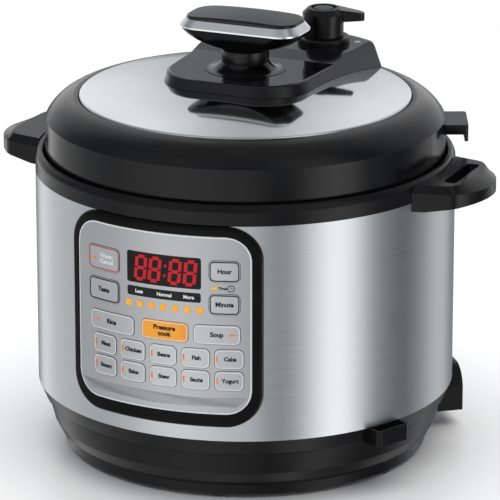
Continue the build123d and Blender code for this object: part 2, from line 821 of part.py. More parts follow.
with BuildPart() as inlet_pins:
    for across, up in ((-7.0, -2.0), (7.0, -2.0), (0, 2.0)):
        with BuildSketch(side_plane(inlet_angle, inlet_start - 6.0, inlet_level)) as pin:
            with Locations((across, up)):
                Rectangle(2.0, 4.0)
        extrude(pin.sketch, amount=inlet_front - 17.0 + inlet_pin_length - inlet_start + 6.0)
save(inlet_pins, "inlet_pins")

pocket_top = sleeve_bottom - seat_gap - 0.4
with BuildPart() as spoon_holder:
    with BuildSketch(Plane.XY.offset(pocket_top - pocket_height)) as pocket_plan:
        with Locations(Location((0, 0, 0), (0, 0, pocket_angle))):
            with Locations(((body_radius - 8 + body_radius + pocket_reach) / 2, 0)):
                Rectangle(pocket_reach + 8, pocket_width)
    extrude(pocket_plan.sketch, amount=pocket_height)
    outer_corners = spoon_holder.edges().filter_by(Axis.Z)
    fillet(outer_corners.filter_by(lambda e: hypot(e.center().X, e.center().Y) > body_radius + 4), 3.0)
    with BuildSketch(Plane.XY.offset(pocket_top - pocket_height + pocket_wall)) as pocket_mouth:
        with Locations(Location((0, 0, 0), (0, 0, pocket_angle))):
            with Locations((body_radius + pocket_reach - pocket_wall - 3.6, 0)):
                RectangleRounded(7.2, pocket_width - 2 * pocket_wall, 1.5)
    extrude(pocket_mouth.sketch, amount=pocket_height, mode=Mode.SUBTRACT)
    wrapped = base_outline(-seat_gap)
    above = [(body_radius + seat_gap, sleeve_top), (0, sleeve_top)]
    turn([(0, floor_level)] + wrapped + above, Mode.SUBTRACT)
save(spoon_holder, "spoon_holder")

cup_top = ring_underside - 4.2
cup_reach = body_radius + cup_depth
with BuildPart() as cup_bracket:
    half = cup_width / 2 + cup_flange + moving_gap
    block((-half - 2, half + 2), (body_radius - 12, cup_reach), (cup_top + 0.3, cup_top + 3.0))
    for side in (-1, 1):
        x_limits = sorted((side * half, side * (half + 2)))
        block(x_limits, (body_radius - 12, cup_reach - 4), (cup_top - 5.2, cup_top + 1))
        x_limits = sorted((side * (half - 1.6), side * (half + 2)))
        block(x_limits, (body_radius - 12, cup_reach - 4), (cup_top - 5.2, cup_top - 3.6))
    round_bar(0, body_radius + 8, 3.0, cup_top - 1, cup_top + 5, Mode.SUBTRACT)
    turn_band(0, body_radius + seat_gap, cup_top - 20, cup_top + 20, Mode.SUBTRACT)
save(cup_bracket, "cup_bracket")

with BuildPart() as condensate_cup:
    half = cup_width / 2
    block((-half, half), (body_radius - 12, cup_reach), (cup_top - cup_height, cup_top))
    outer_corners = condensate_cup.edges().filter_by(Axis.Z)
    fillet(outer_corners.filter_by(lambda e: e.center().Y > body_radius), 4.0)
    turn_band(0, body_radius + moving_gap, 0, cup_top + 20, Mode.SUBTRACT)
    with BuildPart(mode=Mode.PRIVATE) as cup_inside:
        block(
            (-half + cup_wall, half - cup_wall),
            (body_radius - 12, cup_reach - cup_wall),
            (cup_top - cup_height + cup_wall, cup_top + 5),
        )
        turn_band(0, body_radius + moving_gap + cup_wall, 0, cup_top + 20, Mode.SUBTRACT)
    add(cup_inside.part, mode=Mode.SUBTRACT)
    for side in (-1, 1):
        x_limits = sorted((side * (half - 1.0), side * (half + cup_flange)))
        block(x_limits, (body_radius + 0.6, cup_reach - 5), (cup_top - 3.2, cup_top))
save(condensate_cup, "condensate_cup")

# ================================================================ lid underside
with BuildPart() as seal_ring:
    seal_inside = seal_outside - seal_width
    turn(
        [
            (seal_outside, seal_bottom),
            (seal_outside, seal_bottom + seal_height),
            (seal_inside + 1.2, seal_bottom + seal_height),
            (seal_inside + 1.2, seal_bottom + seal_height - 1.6),
            (seal_outside - 2.4, seal_bottom + seal_height - 1.6),
            (seal_outside - 2.4, seal_bottom + 2.0),
            (seal_inside, seal_bottom + 2.6),
            (seal_inside, seal_bottom + 1.0),
            (seal_outside - 2.0, seal_bottom),
        ]
    )
save(seal_ring, "seal_ring")

with BuildPart() as lid_pan:
    flat = boss_place - 8.0
    turn(
        [
            (0, pan_roof + 5.0),
            (flat - 40.0, pan_roof + 3.5),
            (flat, pan_roof),
            (pan_outside - 4.0, pan_roof),
            (pan_outside, pan_roof - 4.0),
            (pan_outside, pan_bottom),
            (pan_inside, pan_bottom),
            (pan_inside, pan_roof - pan_wall - 3.0),
            (pan_inside - 3.0, pan_roof - pan_wall),
            (flat, pan_roof - pan_wall),
            (flat - 40.0, pan_roof + 3.5 - pan_wall),
            (0, pan_roof + 5.0 - pan_wall),
        ]
    )
    with BuildSketch(Plane.XZ) as tab_section:
        with Locations(((pan_outside - 0.5 + pan_lug_radius) / 2, pan_bottom + 1.4)):
            Rectangle(pan_lug_radius - pan_outside + 0.5, 2.8)
    with BuildPart(mode=Mode.PRIVATE) as one_tab:
        revolve(tab_section.sketch, axis=Axis.Z, revolution_arc=bayonet_angle - 2)
    for i in range(bayonet_count):
        add(one_tab.part.rotate(Axis.Z, 1 + i * 360 / bayonet_count))
    round_bar(*valve_place, pipe_radius + seat_gap, pan_bottom, pan_roof + 9, Mode.SUBTRACT)
    round_bar(*float_place, float_radius + moving_gap, pan_bottom, pan_roof + 9, Mode.SUBTRACT)
    for x, y in boss_points:
        round_bar(x, y, screw_radius + 0.2, pan_bottom, pan_roof + 9, Mode.SUBTRACT)
save(lid_pan, "lid_pan")

with BuildPart() as lid_screws:
    head_top = pan_roof - pan_wall - seat_gap
    for x, y in boss_points:
        round_bar(x, y, screw_radius, head_top - 0.5, pan_roof + 10)
        round_bar(x, y, screw_head_radius, head_top - screw_head_height, head_top)
save(lid_screws, "lid_screws")

# ================================================================ lid top
with BuildPart() as lid_ring:
    with BuildSketch(Plane.XZ):
        with BuildLine():
            lip_outer = (crease_radius - shoulder_width + 1.5, lip_top_level)
            lip_inner = dome_radius + moving_gap
            skirt = Polyline(
                (skirt_outside, skirt_bottom),
                (skirt_outside, skirt_bottom + 15),
                (skirt_outside - 0.7, crease_level - 1.4),
                (crease_radius, crease_level),
            )
            middle = (
                (crease_radius + lip_outer[0]) / 2 + shoulder_bulge * 0.58,
                (crease_level + lip_top_level) / 2 + shoulder_bulge * 0.82,
            )
            shoulder = ThreePointArc(skirt @ 1, middle, lip_outer)
            lip = Polyline(
                shoulder @ 1,
                (lip_inner + 0.6, lip_top_level + 0.2),
                (lip_inner, lip_top_level - 0.5),
                (lip_inner, dome_ledge),
                (lip_inner - 10.0, dome_ledge),
                (lip_inner - 10.0, dome_ledge - shell_wall),
                (lip_inner + 1.0, dome_ledge - shell_wall),
                (lip_outer[0] - 0.2, lip_top_level - shell_wall - 0.8),
            )
            under_shoulder = ThreePointArc(
                lip @ 1,
                (middle[0] - shell_wall * 0.58, middle[1] - shell_wall * 0.82),
                (crease_radius - shell_wall, crease_level - shell_wall * 0.7),
            )
            Polyline(
                under_shoulder @ 1,
                (skirt_inside, skirt_bottom + 15),
                (skirt_inside, skirt_bottom),
                skirt @ 0,
            )
        make_face()
    revolve(axis=Axis.Z)
    for x, y in boss_points:
        round_bar(x, y, boss_radius, pan_roof + seat_gap, dome_ledge - 1)
        round_bar(x, y, screw_radius + 0.05, pan_roof - 1, pan_roof + 11, Mode.SUBTRACT)
    ear_top = crease_level - ear_drop
    ear_tip = skirt_outside + ear_reach
    with BuildSketch(Plane.XY.offset(ear_top - ear_thickness)) as ear_plan:
        with Locations(Location((0, 0, 0), (0, 0, ear_angle))):
            with Locations(((skirt_inside + ear_tip) / 2 + 0.6, 0)):
                Rectangle(ear_tip - skirt_inside - 1.2, ear_width)
    extrude(ear_plan.sketch, amount=ear_thickness)
    with BuildSketch(Plane.XY.offset(ear_top - ear_thickness - ear_hook_drop)) as ear_hook:
        with Locations(Location((0, 0, 0), (0, 0, ear_angle))):
            with Locations((ear_tip - 1.2, 0)):
                Rectangle(2.4, ear_width)
    extrude(ear_hook.sketch, amount=ear_hook_drop + 1.0)
    ear_corners = lid_ring.edges().filter_by(Axis.Z)
    ear_corners = ear_corners.filter_by(lambda e: hypot(e.center().X, e.center().Y) > ear_tip - 0.5)
    fillet(ear_corners, 2.2)
save(lid_ring, "lid_ring")

def dome_height(radius):
    """Height of the polished dome's outside at a radius."""
    return dome_crown - dome_sphere + sqrt(dome_sphere ** 2 - radius ** 2)


half_radius = dome_radius / 2
edge_radius = dome_radius - 1.5

with BuildPart() as lid_dome:
    with BuildSketch(Plane.XZ):
        with BuildLine():
            outside = ThreePointArc(
                (bolt_hole_radius, dome_height(bolt_hole_radius)),
                (half_radius, dome_height(half_radius)),
                (edge_radius, dome_height(edge_radius)),
            )
            rim = ThreePointArc(
                outside @ 1,
                (dome_radius - 0.4, dome_height(edge_radius) - 0.55),
                (dome_radius, dome_height(edge_radius) - 1.6),
            )
            turned_down = Polyline(
                rim @ 1,
                (dome_radius, dome_ledge + seat_gap),
                (dome_radius - dome_wall, dome_ledge + seat_gap),
                (dome_radius - dome_wall, dome_height(edge_radius) - 1.7),
                (edge_radius - 0.2, dome_height(edge_radius) - dome_wall),
            )
            inside = ThreePointArc(
                turned_down @ 1,
                (half_radius, dome_height(half_radius) - dome_wall),
                (bolt_hole_radius, dome_height(bolt_hole_radius) - dome_wall),
            )
            Line(inside @ 1, outside @ 0)
        make_face()
    revolve(axis=Axis.Z)
    round_bar(*valve_place, pipe_radius + 2.0, dome_ledge, dome_crown + 5, Mode.SUBTRACT)
    round_bar(*float_place, float_radius + 2.0, dome_ledge, dome_crown + 5, Mode.SUBTRACT)
save(lid_dome, "lid_dome")


def saddle_sketch(level, lean, rear):
    """Plan of the saddle at a level: round front corners, sides that widen to the rear."""
    half = saddle_half_width - lean
    rear_half = half + saddle_widening
    front = -saddle_front + lean * 0.7
    with BuildSketch(Plane.XY.offset(level)) as plan:
        with BuildLine():
            Polyline((-half, front), (half, front), (rear_half, rear), (-rear_half, rear), close=True)
        make_face()
        fillet(plan.vertices().group_by(Axis.Y)[0], saddle_corner)
    return plan.sketch


saddle_rear = dome_radius + saddle_over_ring


def saddle_bound(inset):
    """Keep what lies inside the lid's circle, with the rear wall leaning inwards."""
    reach = saddle_rear - inset
    outline = [
        (0, lip_top_level - 10.0),
        (reach, lip_top_level - 10.0),
        (reach, lip_top_level + 1.5),
        (reach - saddle_lean, platform_top),
        (reach - saddle_lean, platform_top + 5.0),
        (0, platform_top + 5.0),
    ]
    turn(outline, Mode.INTERSECT)


with BuildPart() as saddle:
    low_level = lip_top_level - 4.0
    loft([saddle_sketch(low_level, 0, saddle_rear), saddle_sketch(platform_top, saddle_lean, saddle_rear)])
    saddle_bound(0)
    with BuildSketch(Plane.YZ.offset(-saddle_half_width - 20)) as over_pad:
        Polygon(
            (-saddle_front - 10, saddle_top),
            (platform_start, saddle_top),
            (platform_start + platform_ramp, platform_top),
            (platform_start + platform_ramp, platform_top + 5),
            (-saddle_front - 10, platform_top + 5),
            align=None,
        )
    extrude(over_pad.sketch, amount=2 * saddle_half_width + 40, mode=Mode.SUBTRACT)
    platform_edges = saddle.edges().filter_by(lambda e: e.center().Z > platform_top - 0.2)
    rear_edge = platform_edges.filter_by(lambda e: abs(e.center().X) < 1.0).sort_by(Axis.Y)[-1]
    fillet(rear_edge, saddle_rear_round)
    top_faces = saddle.faces().filter_by(lambda f: f.center().Z > saddle_top - 0.1 and f.normal_at().Z > 0.98)
    rim_edges = top_faces.edges().filter_by(lambda e: abs(e.center().X) > 1.0 or e.center().Y < 0)
    fillet(rim_edges, 2.4)
    hollow_top = saddle_top - saddle_wall
    with BuildPart(mode=Mode.PRIVATE) as saddle_inside:
        hollow = [
            saddle_sketch(low_level - 1, saddle_wall, saddle_rear - saddle_wall),
            saddle_sketch(hollow_top, saddle_lean + saddle_wall, saddle_rear - saddle_wall),
        ]
        loft(hollow)
        saddle_bound(saddle_wall)
        round_bar(0, 0, stem_radius, low_level - 5, platform_top + 5, Mode.SUBTRACT)
        round_bar(*valve_place, pipe_radius + 3.5, low_level - 5, platform_top + 5, Mode.SUBTRACT)
    add(saddle_inside.part, mode=Mode.SUBTRACT)
    with BuildSketch(Plane.XZ) as under_saddle:
        with BuildLine():
            under_arc = ThreePointArc(
                (0, dome_crown + 0.15),
                (half_radius, dome_height(half_radius) + 0.15),
                (edge_radius, dome_height(edge_radius) + 0.15),
            )
            Polyline(
                under_arc @ 1,
                (lip_inner + 0.5, lip_top_level + 0.4),
                (lip_outer[0] + 0.5, lip_top_level + 0.4),
                (saddle_rear + 6.0, lip_top_level - 2.2),
                (saddle_rear + 6.0, 0),
                (0, 0),
                under_arc @ 0,
            )
        make_face()
    revolve(under_saddle.sketch, axis=Axis.Z, mode=Mode.SUBTRACT)
    round_bar(*valve_place, pipe_radius + seat_gap, low_level - 5, platform_top + 5, Mode.SUBTRACT)
    round_bar(*float_place, float_radius + moving_gap, low_level - 5, platform_top + 5, Mode.SUBTRACT)
save(saddle, "saddle")

with BuildPart() as grip_stem:
    with BuildSketch(Plane.XZ):
        with BuildLine():
            foot = Polyline(
                (0, saddle_top + seat_gap),
                (stem_radius + stem_flare, saddle_top + seat_gap),
                (stem_radius + stem_flare, saddle_top + seat_gap + 0.2),
            )
            flare = ThreePointArc(
                foot @ 1,
                (stem_radius + stem_flare * 0.29, saddle_top + stem_flare_height * 0.46),
                (stem_radius, saddle_top + stem_flare_height + 0.3),
            )
            neck = Line(flare @ 1, (stem_radius, grip_bottom - 3.0))
            throat = ThreePointArc(
                neck @ 1, (stem_radius + 0.4, grip_bottom - 1.2), (stem_radius + 1.6, grip_bottom)
            )
            Polyline(throat @ 1, (0, grip_bottom), foot @ 0)
        make_face()
    revolve(axis=Axis.Z)
save(grip_stem, "grip_stem")


def grip_sketch(level, inset_length, inset_width, corner):
    """Rounded plan of the grip at a level, smaller than its full plan by the insets."""
    with BuildSketch(Plane.XY.offset(level)) as plan:
        RectangleRounded(grip_length - 2 * inset_length, grip_width - 2 * inset_width, corner)
    return plan.sketch


with BuildPart() as grip_body:
    bowl = [
        grip_sketch(grip_bottom + seat_gap, 20.0, 3.6, grip_corner * 8 / 7),
        grip_sketch(grip_bottom + grip_depth * 0.22, 11.5, 2.6, grip_corner * 8 / 7),
        grip_sketch(grip_bottom + grip_depth * 0.62, 3.6, 1.2, grip_corner * 15 / 14),
        grip_sketch(grip_top, 0, 0, grip_corner),
    ]
    loft(bowl)
save(grip_body, "grip_body")

trim_low = grip_top + seat_gap
trim_top = trim_low + trim_height
with BuildPart() as grip_trim:
    loft([grip_sketch(trim_low, 0, 0, grip_corner), grip_sketch(trim_low + 1.0, 0, 0, grip_corner)])
    slope = [
        grip_sketch(trim_low + 1.0, 0, 0, grip_corner),
        grip_sketch(trim_top, trim_slope, trim_slope, grip_corner - trim_slope * 0.5),
    ]
    loft(slope)
    hole = grip_sketch(trim_low - 1, trim_width, trim_width, grip_corner - trim_width * 0.7)
    extrude(hole, amount=trim_height + 2, mode=Mode.SUBTRACT)
save(grip_trim, "grip_trim")

with BuildPart() as grip_cap:
    cap_level = trim_top + seat_gap
    cap_inset = trim_slope + 0.3
    crown = cap_level + cap_height
    extrude(grip_sketch(cap_level, cap_inset, cap_inset, grip_corner - cap_inset * 0.5), amount=cap_height)
    with Locations((0, 0, crown - cap_crown_radius)):
        Sphere(cap_crown_radius, mode=Mode.INTERSECT)
    fillet(grip_cap.faces().sort_by(Axis.Z)[-1].edges(), cap_round)
    plug_inset = trim_width + rest_gap
    plug = grip_sketch(trim_low, plug_inset, plug_inset, grip_corner - plug_inset * 0.7)
    extrude(plug, amount=trim_height + 0.5)
save(grip_cap, "grip_cap")

# ================================================================ valve, pipe and float pin
collar_level = platform_top + seat_gap
knob_bottom = collar_level + valve_collar_height + moving_gap
knob_top = collar_level + valve_height
with BuildPart() as valve_collar:
    round_bar(*valve_place, valve_collar_radius, collar_level, collar_level + valve_collar_height)
    fillet(valve_collar.faces().sort_by(Axis.Z)[-1].edges(), 1.4)
    round_bar(*valve_place, pipe_radius + seat_gap, collar_level - 1, collar_level + 9, Mode.SUBTRACT)
save(valve_collar, "valve_collar")

lever_along = (cos(radians(valve_lever_angle)), sin(radians(valve_lever_angle)), 0)
head_bottom = knob_top - valve_head_height
with BuildPart() as valve_knob:
    round_bar(*valve_place, valve_radius - 0.8, knob_bottom, head_bottom + 1.0)
    with BuildPart(mode=Mode.PRIVATE) as valve_lever:
        with BuildSketch(Plane(origin=(*valve_place, head_bottom), x_dir=lever_along, z_dir=(0, 0, 1))):
            with BuildLine():
                root_half = valve_radius * 0.6
                lever_end = valve_lever_reach - 3.4
                upper = Line((0, root_half), (lever_end, 3.6))
                tip_arc = ThreePointArc(upper @ 1, (valve_lever_reach, 0), (lever_end, -3.6))
                Polyline(tip_arc @ 1, (0, -root_half), (0, root_half))
            make_face()
        extrude(amount=valve_head_height)
        lever_side = Plane(
            origin=(*valve_place, head_bottom),
            x_dir=lever_along,
            z_dir=(lever_along[1], -lever_along[0], 0),
        )
        with BuildSketch(lever_side) as profile:
            Polygon(
                (0, 0.4),
                (valve_lever_reach + 1, 0.4),
                (valve_lever_reach + 1, valve_head_height - valve_lever_drop),
                (valve_radius * 0.7, valve_head_height - 0.4),
                (0, valve_head_height - 0.4),
                align=None,
            )
        extrude(profile.sketch, amount=valve_radius, both=True, mode=Mode.INTERSECT)
    add(valve_lever.part)
    with BuildPart(mode=Mode.PRIVATE) as valve_head:
        round_bar(*valve_place, valve_radius, head_bottom, knob_top)
        chamfer(valve_head.faces().sort_by(Axis.Z)[-1].edges(), valve_head_slope)
        fillet(valve_head.faces().sort_by(Axis.Z)[-1].edges(), 1.2)
    add(valve_head.part)
    top_radius = valve_radius - valve_head_slope
    round_bar(*valve_place, top_radius - 2.2, knob_top - 1.0, knob_top + 5, Mode.SUBTRACT)
    round_bar(*valve_place, top_radius - 4.4, knob_top - 1.5, knob_top - 0.2)
    round_bar(*valve_place, pipe_radius + shaft_gap, knob_bottom - 1, knob_bottom + 8.0, Mode.SUBTRACT)
save(valve_knob, "valve_knob")

filter_top = pan_roof - pan_wall - 0.4
with BuildPart() as exhaust_pipe:
    round_bar(*valve_place, pipe_radius, filter_top - 6.0, knob_bottom + 7.5)
    round_bar(*valve_place, pipe_bore, filter_top - 8.0, knob_bottom + 9.0, Mode.SUBTRACT)
save(exhaust_pipe, "exhaust_pipe")

with BuildPart() as steam_filter:
    round_bar(*valve_place, filter_radius, filter_top - filter_height, filter_top)
    room = (filter_top - filter_height + 1.4, filter_top - 1.4)
    round_bar(*valve_place, filter_radius - 1.4, *room, Mode.SUBTRACT)
    round_bar(*valve_place, pipe_radius + seat_gap, filter_top - 2, filter_top + 1, Mode.SUBTRACT)
    with BuildSketch(Plane.XY.offset(filter_top - filter_height + 2.5)) as filter_slots:
        with Locations(Location((*valve_place, 0))):
            with PolarLocations(filter_radius - 0.7, 8):
                Rectangle(4.0, 3.0)
    extrude(filter_slots.sketch, amount=filter_height - 5.0, mode=Mode.SUBTRACT)
save(steam_filter, "steam_filter")

with BuildPart() as float_pin:
    round_bar(*float_place, float_radius, pan_bottom + 2.0, platform_top)
    round_bar(*float_place, float_radius + 2.4, pan_bottom + 2.0, pan_bottom + 4.0)
save(float_pin, "float_pin")
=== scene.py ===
"""Looks of the electric pressure cooker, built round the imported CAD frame.  Metres throughout."""
import json
import math

import bmesh
import bpy
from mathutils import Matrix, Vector


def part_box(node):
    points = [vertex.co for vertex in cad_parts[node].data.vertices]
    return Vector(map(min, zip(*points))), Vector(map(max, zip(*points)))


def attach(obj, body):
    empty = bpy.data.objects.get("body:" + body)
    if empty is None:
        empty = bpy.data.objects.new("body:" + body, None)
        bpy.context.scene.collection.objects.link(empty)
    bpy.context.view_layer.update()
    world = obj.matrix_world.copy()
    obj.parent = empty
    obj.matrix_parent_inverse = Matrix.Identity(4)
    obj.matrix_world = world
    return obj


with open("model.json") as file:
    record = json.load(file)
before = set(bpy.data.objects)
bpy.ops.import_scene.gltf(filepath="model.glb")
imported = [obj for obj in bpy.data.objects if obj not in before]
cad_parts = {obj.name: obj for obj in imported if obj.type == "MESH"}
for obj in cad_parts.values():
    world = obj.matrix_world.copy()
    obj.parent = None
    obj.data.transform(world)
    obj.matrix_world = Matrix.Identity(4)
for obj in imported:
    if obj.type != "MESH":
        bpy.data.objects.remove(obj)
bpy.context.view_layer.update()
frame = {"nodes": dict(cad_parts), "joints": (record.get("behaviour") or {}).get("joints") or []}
nodes = frame["nodes"]
MM = 0.001


# ------------------------------------------------------------------ places read from the frame
def middle(node):
    low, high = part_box(node)
    return (low + high) / 2


face_low, face_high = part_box("panel_faceplate")
FACE_RADIUS = -face_low.y
FACE_MIDDLE = (face_low.z + face_high.z) / 2
FACE_HEIGHT = face_high.z - face_low.z
FACE_WIDTH = 2 * FACE_RADIUS * math.asin(face_high.x / FACE_RADIUS)
KEY_PROUD = 0.35 * MM
PRINT_LIFT = 0.06 * MM
PRINT_DEPTH = 0.08 * MM
LINE_SPACING = 0.95
LETTER_WEIGHT = 0.04      # how far a letter's outline grows, as a share of its size
LOOP_STEP = 3 * MM        # spacing of the points on the straight sides of an outline


def key_place(node):
    """(distance round the panel, height above its middle, width, height) of a key."""
    low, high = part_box(node)
    joint = next(j for j in frame["joints"] if j["child"] == node)
    angle = math.atan2(-joint["axis"][0], joint["axis"][1])
    across = Vector((math.cos(angle), math.sin(angle), 0))
    spans = [v.co.dot(across) for v in nodes[node].data.vertices]
    along = angle * FACE_RADIUS
    up = (low.z + high.z) / 2 - FACE_MIDDLE
    return along, up, max(spans) - min(spans), high.z - low.z


# ------------------------------------------------------------------ material helpers
class Paint:
    """A node material with short helpers for procedural detail."""

    def __init__(self, name, color, metallic=0.0, roughness=0.4, **sockets):
        self.mat = bpy.data.materials.new(name)
        self.mat.use_nodes = True
        self.tree = self.mat.node_tree
        self.shader = self.tree.nodes["Principled BSDF"]
        self.shader.inputs["Base Color"].default_value = (*color, 1.0)
        self.shader.inputs["Metallic"].default_value = metallic
        self.shader.inputs["Roughness"].default_value = roughness
        for key, value in sockets.items():
            self.shader.inputs[key.replace("_", " ")].default_value = value
        self.where = self.node("ShaderNodeTexCoord").outputs["Object"]

    def node(self, kind, **settings):
        made = self.tree.nodes.new(kind)
        for key, value in settings.items():
            setattr(made, key, value)
        return made

    def link(self, a, b):
        self.tree.links.new(a, b)

    def scaled(self, scale):
        mapping = self.node("ShaderNodeMapping")
        mapping.inputs["Scale"].default_value = scale
        self.link(self.where, mapping.inputs["Vector"])
        return mapping.outputs["Vector"]

    def noise(self, scale, stretch=(1, 1, 1), detail=4.0, rough=0.55):
        noise = self.node("ShaderNodeTexNoise")
        noise.inputs["Scale"].default_value = scale
        noise.inputs["Detail"].default_value = detail
        noise.inputs["Roughness"].default_value = rough
        self.link(self.scaled(stretch), noise.inputs["Vector"])
        return noise.outputs["Fac"]

    def ramp(self, value, low, high, start=0.3, end=0.7):
        spread = self.node("ShaderNodeMapRange")
        spread.inputs["From Min"].default_value = start
        spread.inputs["From Max"].default_value = end
        spread.inputs["To Min"].default_value = low
        spread.inputs["To Max"].default_value = high
        self.link(value, spread.inputs["Value"])
        return spread.outputs["Result"]

    def rough(self, value, low, high, start=0.3, end=0.7):
        self.link(self.ramp(value, low, high, start, end), self.shader.inputs["Roughness"])
        return self

    def tint(self, value, dark, light, start=0.3, end=0.7):
        mix = self.node("ShaderNodeMix", data_type="RGBA")
        self.link(self.ramp(value, 0.0, 1.0, start, end), mix.inputs["Factor"])
        mix.inputs["A"].default_value = (*dark, 1.0)
        mix.inputs["B"].default_value = (*light, 1.0)
        self.link(mix.outputs["Result"], self.shader.inputs["Base Color"])
        return self

    def bump(self, value, strength, distance):
        bump = self.node("ShaderNodeBump")
        bump.inputs["Strength"].default_value = strength
        bump.inputs["Distance"].default_value = distance
        self.link(value, bump.inputs["Height"])
        self.link(bump.outputs["Normal"], self.shader.inputs["Normal"])
        return self


def brushed(name, color, dark, low, high, streak, strength, anisotropy):
    """Metal brushed round the upright axis: long level streaks, stretched highlights."""
    paint = Paint(name, color, metallic=1.0, roughness=(low + high) / 2, Anisotropic=anisotropy)
    paint.shader.inputs["Anisotropic Rotation"].default_value = 0.25
    streaks = paint.noise(1.0, (7, 7, streak), 6.0, 0.7)
    paint.rough(streaks, low, high).tint(streaks, dark, color)
    paint.bump(streaks, strength, 0.00015)
    return paint.mat


def plastic(name, color, roughness, grain=2200.0, strength=0.05, coat=0.0, shine=0.5):
    """Moulded plastic with a fine grain and slightly uneven gloss."""
    paint = Paint(name, color, roughness=roughness, Specular_IOR_Level=shine, Coat_Weight=coat)
    paint.shader.inputs["Coat Roughness"].default_value = 0.08
    cloud = paint.noise(38.0, detail=3.0)
    paint.rough(cloud, roughness * 0.85, roughness * 1.2)
    light = tuple(c * 1.35 + 0.001 for c in color)
    paint.tint(cloud, color, light)
    paint.bump(paint.noise(grain, detail=2.0), strength, 0.00005)
    return paint.mat


def metal(name, color, low, high, scale, strength):
    """Plain metal with small changes of gloss."""
    paint = Paint(name, color, metallic=1.0, roughness=(low + high) / 2)
    cloud = paint.noise(scale, detail=5.0)
    dark = tuple(c * 0.86 for c in color)
    paint.rough(cloud, low, high).tint(cloud, dark, color).bump(cloud, strength, 0.0001)
    return paint.mat


M = {}
STEEL_LIGHT, STEEL_DARK = (0.63, 0.645, 0.66), (0.53, 0.545, 0.56)
M["sleeve"] = brushed("brushed_sleeve", STEEL_LIGHT, STEEL_DARK, 0.26, 0.36, 2400, 0.10, 0.65)
M["silver"] = brushed("panel_silver", (0.60, 0.61, 0.62), (0.50, 0.51, 0.52), 0.36, 0.46, 3000, 0.10, 0.3)
M["key_silver"] = brushed("key_silver", (0.66, 0.67, 0.68), (0.56, 0.57, 0.58), 0.34, 0.44, 3000, 0.10, 0.3)
M["mirror"] = metal("mirror_dome", (0.80, 0.805, 0.815), 0.055, 0.085, 14.0, 0.015)
M["chrome"] = metal("grip_chrome", (0.86, 0.87, 0.88), 0.04, 0.08, 20.0, 0.01)
M["pan"] = metal("pressed_aluminium", (0.74, 0.745, 0.75), 0.28, 0.40, 90.0, 0.10)
M["steel"] = metal("plain_steel", (0.62, 0.63, 0.64), 0.20, 0.32, 80.0, 0.06)
M["zinc"] = metal("zinc_screws", (0.60, 0.61, 0.60), 0.25, 0.38, 300.0, 0.08)
M["brass"] = metal("nickel_pins", (0.70, 0.66, 0.55), 0.18, 0.30, 300.0, 0.05)
M["lid_black"] = plastic("lid_black", (0.0025, 0.0026, 0.003), 0.17, 2600, 0.03, shine=0.3)
M["saddle_black"] = plastic("saddle_black", (0.002, 0.002, 0.0025), 0.10, 2600, 0.02, shine=0.45)
M["ring_black"] = plastic("ring_black", (0.003, 0.003, 0.0034), 0.20, 2400, 0.04, shine=0.25)
M["base_black"] = plastic("base_black", (0.004, 0.004, 0.0045), 0.26, 2000, 0.06, shine=0.18)
M["bezel_black"] = plastic("bezel_black", (0.002, 0.002, 0.0022), 0.09, 2600, 0.015, shine=0.10)
M["grip_black"] = plastic("grip_black", (0.003, 0.003, 0.0035), 0.10, 2600, 0.015, shine=0.4)
M["stem_black"] = plastic("stem_black", (0.003, 0.003, 0.0035), 0.16, 2400, 0.03, shine=0.4)
M["valve_black"] = plastic("valve_black", (0.003, 0.003, 0.0034), 0.22, 2200, 0.05, shine=0.3)
M["inlet_black"] = plastic("inlet_black", (0.015, 0.015, 0.016), 0.45, 1800, 0.08)
M["rubber"] = plastic("foot_rubber", (0.018, 0.018, 0.018), 0.75, 1500, 0.15)
M["film"] = plastic("membrane_film", (0.42, 0.43, 0.44), 0.5)
M["silicone"] = plastic("seal_silicone", (0.78, 0.79, 0.76), 0.48, 900, 0.05)
M["orange"] = plastic("key_orange", (0.87, 0.34, 0.012), 0.34, 1800, 0.03, 0.2)
M["light"] = plastic("light_orange", (0.92, 0.40, 0.02), 0.30, 1800, 0.02, 0.3)
M["window"] = plastic("display_black", (0.006, 0.003, 0.003), 0.16, 2600, 0.01, shine=0.2)

board = Paint("circuit_board", (0.01, 0.10, 0.035), roughness=0.4)
board.tint(board.noise(420.0, detail=1.0), (0.006, 0.07, 0.025), (0.02, 0.16, 0.05), 0.45, 0.55)
M["board"] = board.mat

pot = Paint("nonstick_coating", (0.035, 0.035, 0.038), roughness=0.34, Coat_Weight=0.3, Coat_Roughness=0.2)
speck = pot.noise(1900.0, detail=1.0)
pot.tint(speck, (0.028, 0.028, 0.031), (0.22, 0.22, 0.23), 0.66, 0.76).bump(speck, 0.05, 0.00005)
M["pot"] = pot.mat

clear = Paint("clear_cup", (0.80, 0.86, 0.88), roughness=0.10, Transmission_Weight=0.85, IOR=1.49)
clear.rough(clear.noise(60.0), 0.08, 0.16)
M["clear"] = clear.mat


def ink(name, color, roughness=0.4, glow=0.0):
    """Printed or moulded colour on the panel; glow adds emission, which is display light on the digits and a
    painted glow on the orange marks.
    """
    paint = Paint(name, color, roughness=roughness, Specular_IOR_Level=0.25)
    paint.rough(paint.noise(700.0), roughness * 0.85, roughness * 1.15)
    # Emission: display light on the digits, a painted glow on the orange marks.
    if glow:
        paint.shader.inputs["Emission Color"].default_value = (*color, 1.0)
        paint.shader.inputs["Emission Strength"].default_value = glow
    return paint.mat


M["ink_black"] = ink("ink_black", (0.010, 0.010, 0.012))
M["ink_white"] = ink("ink_white", (0.82, 0.83, 0.84))
M["ink_red"] = ink("ink_red", (0.50, 0.05, 0.08))
M["ink_digit"] = ink("digit_red", (0.50, 0.010, 0.020), 0.3, 0.16)
# The orange marks are print with a 0.15 emission glow: a painted glow, since no lamp lights them.
M["ink_mark_painted_glow"] = ink("mark_orange_painted_glow", (0.85, 0.20, 0.03), 0.35, 0.15)
M["ink_grey"] = ink("ink_grey", (0.24, 0.245, 0.25))

